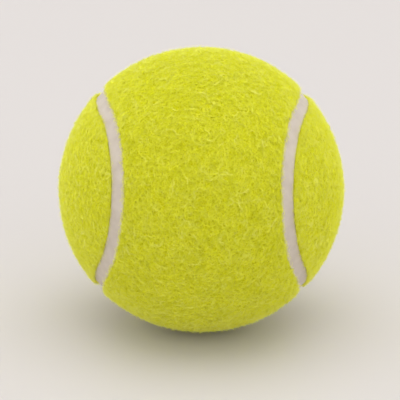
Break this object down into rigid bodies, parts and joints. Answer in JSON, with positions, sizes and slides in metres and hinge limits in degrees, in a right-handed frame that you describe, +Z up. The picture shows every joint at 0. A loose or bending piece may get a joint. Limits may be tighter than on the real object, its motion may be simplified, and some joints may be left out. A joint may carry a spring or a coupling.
{
  "type": "tennis ball",
  "caption": "Tennis ball with a hollow rubber core under a yellow felt cover, whose interlocking dumb-bell panels meet at a recessed rubber seam.",
  "frame": {"origin": "centre of the ball", "axes": "+Z up, -Y towards the front, where the neck of the front felt panel faces, rolled up by 18 degrees; +X to the right of that view"},
  "size_m": [0.067, 0.067, 0.067],
  "materials": {
    "core_rubber": "matte moulded rubber, lightly ground on the outside",
    "joint_cement": "cured rubber cement, satin",
    "core_cement": "thin dried rubber solution, satin",
    "panel_cement": "thin dried rubber solution, satin",
    "backing_cloth": "plain woven cloth, matte",
    "seam_rubber": "smooth matte cured rubber",
    "felt_nap": "raised, felted wool and nylon nap, matte"
  },
  "bodies": {
    "root": {"core_half_upper": "core_rubber", "core_half_lower": "core_rubber", "core_joint_cement": "joint_cement", "core_cement_coat": "core_cement", "panel_cement_front": "panel_cement", "panel_cement_rear": "panel_cement", "panel_backing_front": "backing_cloth", "panel_backing_rear": "backing_cloth", "seam_rubber": "seam_rubber", "felt_nap_front": "felt_nap", "felt_nap_rear": "felt_nap"}
  },
  "joints": []
}
